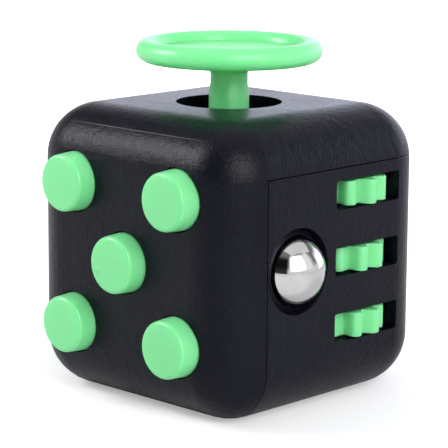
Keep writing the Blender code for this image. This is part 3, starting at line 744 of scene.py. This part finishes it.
def makeDome():
    pivotZ, postR, boreR, end = (dome[key] for key in ("pivotZ", "postR", "boreR", "postEnd"))
    skinOut = arcOf(dome["outR"], 75, dome["low"], 16, (0, pivotZ))
    skinIn = arcOf(dome["outR"] - dome["thick"], dome["low"], 68, 14, (0, pivotZ))
    top, ceiling = skinOut[0][1], skinIn[-1][1]
    outline = [(boreR, top), *skinOut, *skinIn, (postR, ceiling), (postR, end), (boreR, end)]
    piece = turned("stickDome", outline, steps=96)
    for side in (-1, 1):
        ends = sorted(side * reach for reach in dome["pin"])
        join(piece, rod(dome["pinR"], *ends, "y", (0, pivotZ), 32))
    return finishPiece(piece, "stick", ["joystick_dome"], "black_plastic")


makeStick()
makeDome()
print("thumb stick made")


wheel = {
    "radius": 5.0, "lobes": 10, "deep": 1.2, "shape": 1.6, "perLobe": 18, "soften": 0.16,
    "boreR": 1.06, "turns": {"top": 34.5, "middle": 19.5, "bottom": 12},
}


def lobedOutline(centre, turn):
    # broad round lobes with smooth valleys between them
    points = []
    steps = wheel["lobes"] * wheel["perLobe"]
    for i in range(steps):
        wave = (1 - math.cos(2 * math.pi * i / wheel["perLobe"])) / 2
        out = wheel["radius"] - wheel["deep"] * wave ** wheel["shape"]
        lean = math.radians(turn) + 2 * math.pi * i / steps
        points.append((centre.x + out * math.cos(lean), centre.y + out * math.sin(lean)))
    return points


def makeWheel(name):
    node = "thumb_wheel_" + name
    low, high = nodeBox(node)
    axle = nodeCentre("wheel_axle")
    outline = lobedOutline(axle, wheel["turns"][name])
    piece = pushedOut("thumbWheel_" + name, outline, "z", low.z, high.z, wheel["soften"])
    cut(piece, rod(wheel["boreR"], low.z - past, high.z + past, "z", (axle.x, axle.y), 48))
    return finishPiece(piece, "wheel_" + name, [node], "green_plastic")


for wheelName in wheelNames:
    makeWheel(wheelName)
print("thumb wheels made")


def makeBall():
    low, high = nodeBox("roller_ball")
    arc = arcOf((high.z - low.z) / 2, 90, -90, 64)
    piece = turned("steelBall", arc, "z", ballCentre, 128)
    return finishPiece(piece, "ball", ["roller_ball"], "polished_steel", sharp=180)


makeBall()
print("ball made")


dial = {
    "radius": 8.6, "face": -17.4, "back": -15.9, "edge": 0.45, "dished": 0.28,
    "ringIn": 5.6, "ringOut": 6.7, "hubR": 2.0, "nubAt": 5.2, "nubR": 1.35, "nubFoot": 0.6,
    "screwR": 0.85, "screw": (-16.2, -12),
}


def makeDial():
    low, high = nodeBox("spin_dial")
    face, back, edge = dial["face"], dial["back"], dial["edge"]
    radius, hubR = dial["radius"], dial["hubR"]
    floor, hollowR = face + dial["dished"], dial["ringIn"] - 0.3
    outline = [
        (0, floor), (3.0, floor), (hollowR, floor), *arcOf(0.5, 90, 62, 4, (hollowR, floor - 0.5)),
        *arcOf(0.5, -118, -90, 4, (dial["ringOut"] - 0.5, face + 0.5)),
        (radius - edge, face), *arcOf(edge, -80, 0, 6, (radius - edge, face + edge)),
        (radius, back), (hubR, back), (hubR, high.x), (0, high.x),
    ]
    piece = turned("spinDial", outline, "x", (0, 0, controlZ), 128)
    nubR, tip, foot = dial["nubR"], low.x, face + dial["nubFoot"]
    nub = [
        (0, tip), (nubR - 0.5, tip + 0.02),
        *arcOf(edge, -85, 0, 6, (nubR - edge, tip + edge + 0.02)),
        (nubR + 0.05, face + 0.2), (nubR + 0.3, floor + 0.02), (nubR + 0.3, foot), (0, foot),
    ]
    join(piece, turned("nub", nub, "x", (0, 0, controlZ + dial["nubAt"]), 48))
    cut(piece, rod(dial["screwR"], *dial["screw"], "x", (0, controlZ), 32))
    return finishPiece(piece, "dial", ["spin_dial"], "green_plastic")


makeDial()
print("dial made")


rocker = {
    "pivotY": 14.0, "halfLong": 6.5, "halfWide": 3.95, "tilt": 10, "face": 2.5, "dished": 0.22,
    "bellyR": 2.9, "cheek": (0.2, 1.0), "steps": 12, "boreR": 0.81, "soften": 0.28,
}


def makeRocker():
    # a shallow V from the side: two hollow wings in front and a round belly behind
    end, tilt, steps = rocker["halfLong"], math.radians(rocker["tilt"]), rocker["steps"]
    rise = end * math.tan(tilt)
    wing = []
    for i in range(steps + 1):
        share = i / steps
        hollow = rocker["dished"] * math.sin(math.pi * share)
        wing.append((end * share, rocker["face"] + rise * share - hollow))
    inset, cheek = rocker["cheek"]
    belly = arcOf(rocker["bellyR"], -150, -30, 20)
    profile = [
        *[(-x, y) for x, y in wing[::-1]], *wing[1:], (end - inset, cheek), *belly[::-1],
        (-end + inset, cheek),
    ]
    outline = []
    for along, out in profile:
        height = along * math.cos(tilt) - out * math.sin(tilt)
        depth = out * math.cos(tilt) + along * math.sin(tilt)
        outline.append((rocker["pivotY"] + depth, controlZ + height))
    wide = rocker["halfWide"]
    piece = pushedOut("flipRocker", outline, "x", -wide, wide, rocker["soften"])
    pivot = (rocker["pivotY"], controlZ)
    cut(piece, rod(rocker["boreR"], -wide - past, wide + past, "x", pivot, 40))
    return finishPiece(piece, "rocker", ["flip_rocker"], "green_plastic", sharp=30)


housing = {
    "wide": 4.95, "tall": 8.0, "back": 9.6, "proud": 0.25, "round": 1.0,
    "flange": (6.2, 10.7, 13.0, 14.2), "flangeRound": 1.5,
    "room": (4.2, 7.25, 10.4), "roomRound": 0.5,
    "pinR": 0.8, "screwR": 0.85, "screw": (12, 15), "screwAt": 9.4, "soften": 0.15,
}


def makeRockerHousing():
    wide, tall = housing["wide"], housing["tall"]
    front = caseHalf + housing["proud"]
    low, high = (-wide, housing["back"], controlZ - tall), (wide, front, controlZ + tall)
    piece = block("rockerHousing", low, high, housing["round"], "y", 8)
    flangeWide, flangeTall, flangeIn, flangeOut = housing["flange"]
    low = (-flangeWide, flangeIn, controlZ - flangeTall)
    high = (flangeWide, flangeOut, controlZ + flangeTall)
    join(piece, block("flange", low, high, housing["flangeRound"], "y", 8))
    roomWide, roomTall, roomBack = housing["room"]
    low = (-roomWide, roomBack, controlZ - roomTall)
    high = (roomWide, caseHalf + past, controlZ + roomTall)
    cut(piece, block("room", low, high, housing["roomRound"], "y", 5))
    pivot = (rocker["pivotY"], controlZ)
    cut(piece, rod(housing["pinR"], -wide - past, wide + past, "x", pivot, 40))
    for side in (-1, 1):
        at = (0, controlZ + side * housing["screwAt"])
        cut(piece, rod(housing["screwR"], *housing["screw"], "y", at, 32))

    def frontEdge(edge):
        return all(abs(v.co.y - front) < 1e-3 for v in edge.verts)

    softenEdges(piece, housing["soften"], frontEdge, 3)
    return finishPiece(piece, "case", ["rocker_housing"], "black_plastic")


makeRocker()
makeRockerHousing()
print("rocker made")


# the CAD pieces that stay get the same finishes
def finishCadNodes():
    slots = {part["node"]: part["material_slot"] for part in frame["record"]["subparts"]}
    for name, node in frame["nodes"].items():
        node.data.materials.clear()
        node.data.materials.append(finishes[slots[name]])


finishCadNodes()
print("CAD pieces finished")


# lengths in metres and angles in degrees; azimuth 0 is towards -Y and 90 towards +X
studio = {
    "floorR": 1.2, "floorGap": 0.00002, "floorColour": (0.78, 0.78, 0.79), "glow": (0.36, 0.9),
    "glowFrom": 0.05, "glowTo": 0.25, "white": (1.0, 1.0, 1.0), "cool": (0.80, 0.83, 1.0),
    "backdrop": 1.1, "surround": 0.22, "frontGlow": 0.60, "frontTop": (0.12, 0.34),
    # a window starts, is full, is still full and ends
    "back": {"level": 1.85, "azimuth": (142, 154, 222, 250), "height": (-20, -5, 18, 36)},
    "softbox": {"level": 0.78, "azimuth": (38, 46, 118, 138), "height": (3, 7, 46, 60)},
    "core": {"level": 5.6, "azimuth": (44, 56, 72, 104), "height": (5, 14, 40, 58)},
    "dark": {"level": 0.96, "azimuth": (-22, -6, 32, 42), "height": (-20, -5, 40, 58)},
}


def direction(azimuth, elevation):
    turn, rise = math.radians(azimuth), math.radians(elevation)
    flat = math.cos(rise)
    return Vector((math.sin(turn) * flat, -math.cos(turn) * flat, math.sin(rise)))


def makeFloor():
    bm = bmesh.new()
    bmesh.ops.create_circle(bm, cap_ends=True, segments=96, radius=studio["floorR"])
    bmesh.ops.translate(bm, verts=bm.verts, vec=(0, 0, -studio["floorGap"]))
    floor = pieceFrom(bm, "floor")
    material, tree, shader, place = newMaterial("paleFloor", {
        "Roughness": 0.7, "Specular IOR Level": 0.1, "Emission Strength": 1.0})
    shader.inputs["Base Color"].default_value = (*studio["floorColour"], 1)
    # further out the floor glows, for the camera only, so that it fades into the backdrop
    out = addNode(tree, "ShaderNodeVectorMath", {0: place}, operation="LENGTH").outputs["Value"]
    glow = spread(tree, out, *studio["glow"], studio["glowFrom"], studio["glowTo"])
    seen = addNode(tree, "ShaderNodeLightPath").outputs["Is Camera Ray"]
    level = mathNode(tree, "MULTIPLY", glow, seen)
    lit = mixColour(tree, level, (0, 0, 0, 1), (1, 1, 1, 1))
    tree.links.new(lit, shader.inputs["Emission Color"])
    floor.data.materials.append(material)


def makeWorld():
    # soft windows of light round the object, and a white backdrop that only the camera sees
    world = bpy.data.worlds.new("studio")
    bpy.context.scene.world = world
    world.use_nodes = True
    tree = world.node_tree
    tree.nodes.clear()
    way = addNode(tree, "ShaderNodeTexCoord").outputs["Generated"]
    parts = addNode(tree, "ShaderNodeSeparateXYZ", {0: way}).outputs
    turn = mathNode(tree, "ARCTAN2", parts["X"], mathNode(tree, "MULTIPLY", parts["Y"], -1.0))
    turn = mathNode(tree, "MULTIPLY", turn, math.degrees(1))
    rise = mathNode(tree, "MULTIPLY", mathNode(tree, "ARCSINE", parts["Z"]), math.degrees(1))

    def smooth(value, start, end, low, high):
        return addNode(tree, "ShaderNodeMapRange", {
            "Value": value, "From Min": start, "From Max": end, "To Min": low, "To Max": high,
        }, interpolation_type="SMOOTHSTEP").outputs["Result"]

    def window(value, starts, full, still, ends):
        opened, closed = smooth(value, starts, full, 0.0, 1.0), smooth(value, still, ends, 1.0, 0.0)
        return mathNode(tree, "MULTIPLY", opened, closed)

    def patch(name, around=turn):
        wide, tall = window(around, *studio[name]["azimuth"]), window(rise, *studio[name]["height"])
        share = mathNode(tree, "MULTIPLY", wide, tall)
        return mathNode(tree, "MULTIPLY", share, studio[name]["level"])

    # azimuth that runs on past 180 for the patch behind the object
    lap = mathNode(tree, "MULTIPLY", mathNode(tree, "LESS_THAN", turn, 0.0), 360.0)
    behind = patch("back", mathNode(tree, "ADD", turn, lap))
    softbox = mathNode(tree, "ADD", patch("softbox"), patch("core"))
    low = smooth(parts["Z"], *studio["frontTop"], studio["frontGlow"], 0.0)
    level = mathNode(tree, "MAXIMUM", behind, low)
    level = mathNode(tree, "ADD", mathNode(tree, "MAXIMUM", level, softbox), studio["surround"])
    kept = mathNode(tree, "SUBTRACT", 1.0, patch("dark"))
    strength = mathNode(tree, "MULTIPLY", level, kept)
    share = mathNode(tree, "DIVIDE", behind, studio["back"]["level"])
    colour = mixColour(tree, share, (*studio["white"], 1), (*studio["cool"], 1))
    light = addNode(tree, "ShaderNodeBackground", {"Color": colour, "Strength": strength})
    backdrop = addNode(tree, "ShaderNodeBackground", {
        "Color": (*studio["white"], 1), "Strength": studio["backdrop"]})
    seen = addNode(tree, "ShaderNodeLightPath").outputs["Is Camera Ray"]
    both = addNode(tree, "ShaderNodeMixShader", {
        0: seen, 1: light.outputs[0], 2: backdrop.outputs[0]})
    out = addNode(tree, "ShaderNodeOutputWorld")
    tree.links.new(both.outputs[0], out.inputs["Surface"])


lampAim = (0, 0, 0.0167)
lamps = {
    "leftSoftbox": {"from": (-50, 33), "away": 0.30, "size": (0.11, 0.12), "power": 0.57},
    "overhead": {"from": (180, 80), "away": 0.55, "size": (0.7, 0.7), "power": 0.9},
}


def makeLamps():
    for name, lamp in lamps.items():
        data = bpy.data.lights.new(name, "AREA")
        data.shape = "RECTANGLE"
        data.size, data.size_y = lamp["size"]
        data.energy = lamp["power"]
        light = bpy.data.objects.new(name, data)
        way = direction(*lamp["from"])
        light.location = Vector(lampAim) + way * lamp["away"]
        light.rotation_euler = way.to_track_quat("Z", "Y").to_euler()
        light.visible_camera = False
        bpy.context.scene.collection.objects.link(light)


view = {
    "place": (0.16441, -0.17055, 0.06629), "yaw": 44.065, "pitch": 11.351, "roll": 0.356,
    "lens": 168.42, "sensor": 36, "clipStart": 0.01,
}


def makeCamera():
    data = bpy.data.cameras.new("camera")
    data.lens = view["lens"]
    data.sensor_width = view["sensor"]
    data.clip_start = view["clipStart"]
    camera = bpy.data.objects.new("camera", data)
    yaw, pitch, roll = (math.radians(view[key]) for key in ("yaw", "pitch", "roll"))
    turn = Matrix.Rotation(yaw, 4, "Z")
    turn = turn @ Matrix.Rotation(math.pi / 2 - pitch, 4, "X") @ Matrix.Rotation(roll, 4, "Z")
    camera.matrix_world = Matrix.Translation(view["place"]) @ turn
    bpy.context.scene.collection.objects.link(camera)
    bpy.context.scene.camera = camera


makeFloor()
makeWorld()
makeLamps()
makeCamera()
bpy.context.scene.view_settings.view_transform = "Standard"
print("studio made")
